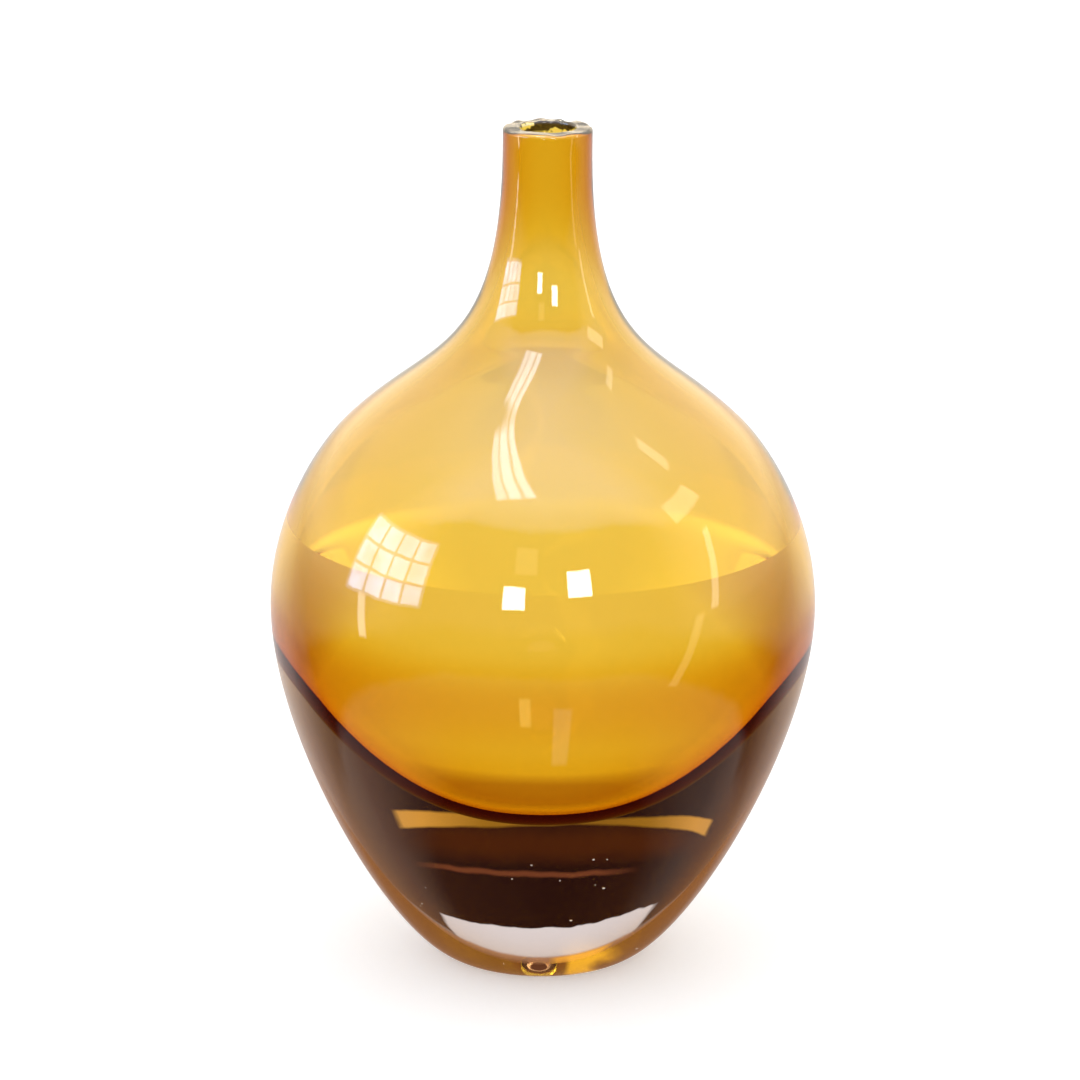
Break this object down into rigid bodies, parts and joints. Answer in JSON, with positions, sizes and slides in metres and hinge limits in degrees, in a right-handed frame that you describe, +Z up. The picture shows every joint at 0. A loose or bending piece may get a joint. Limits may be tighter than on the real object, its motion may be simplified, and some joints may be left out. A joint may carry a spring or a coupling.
{
  "type": "glass bud vase",
  "caption": "Hand-blown glass bud vase with an amber inner layer cased in thick clear glass, a heavy solid base and a slim neck for a single stem.",
  "frame": {"origin": "centre of the flat ground face that the vase stands on", "axes": "+Z up along the turning axis, from the foot to the lip"},
  "size_m": [0.1028, 0.1028, 0.16],
  "materials": {
    "clear_glass": "fire-polished clear glass with a faint lilac smoke tint, ground flat under the foot",
    "amber_glass": "transparent honey-amber glass, deeper in the neck and under the bubble"
  },
  "bodies": {
    "root": {"clear_outer_casing": "clear_glass", "amber_inner_layer": "amber_glass"}
  },
  "joints": []
}
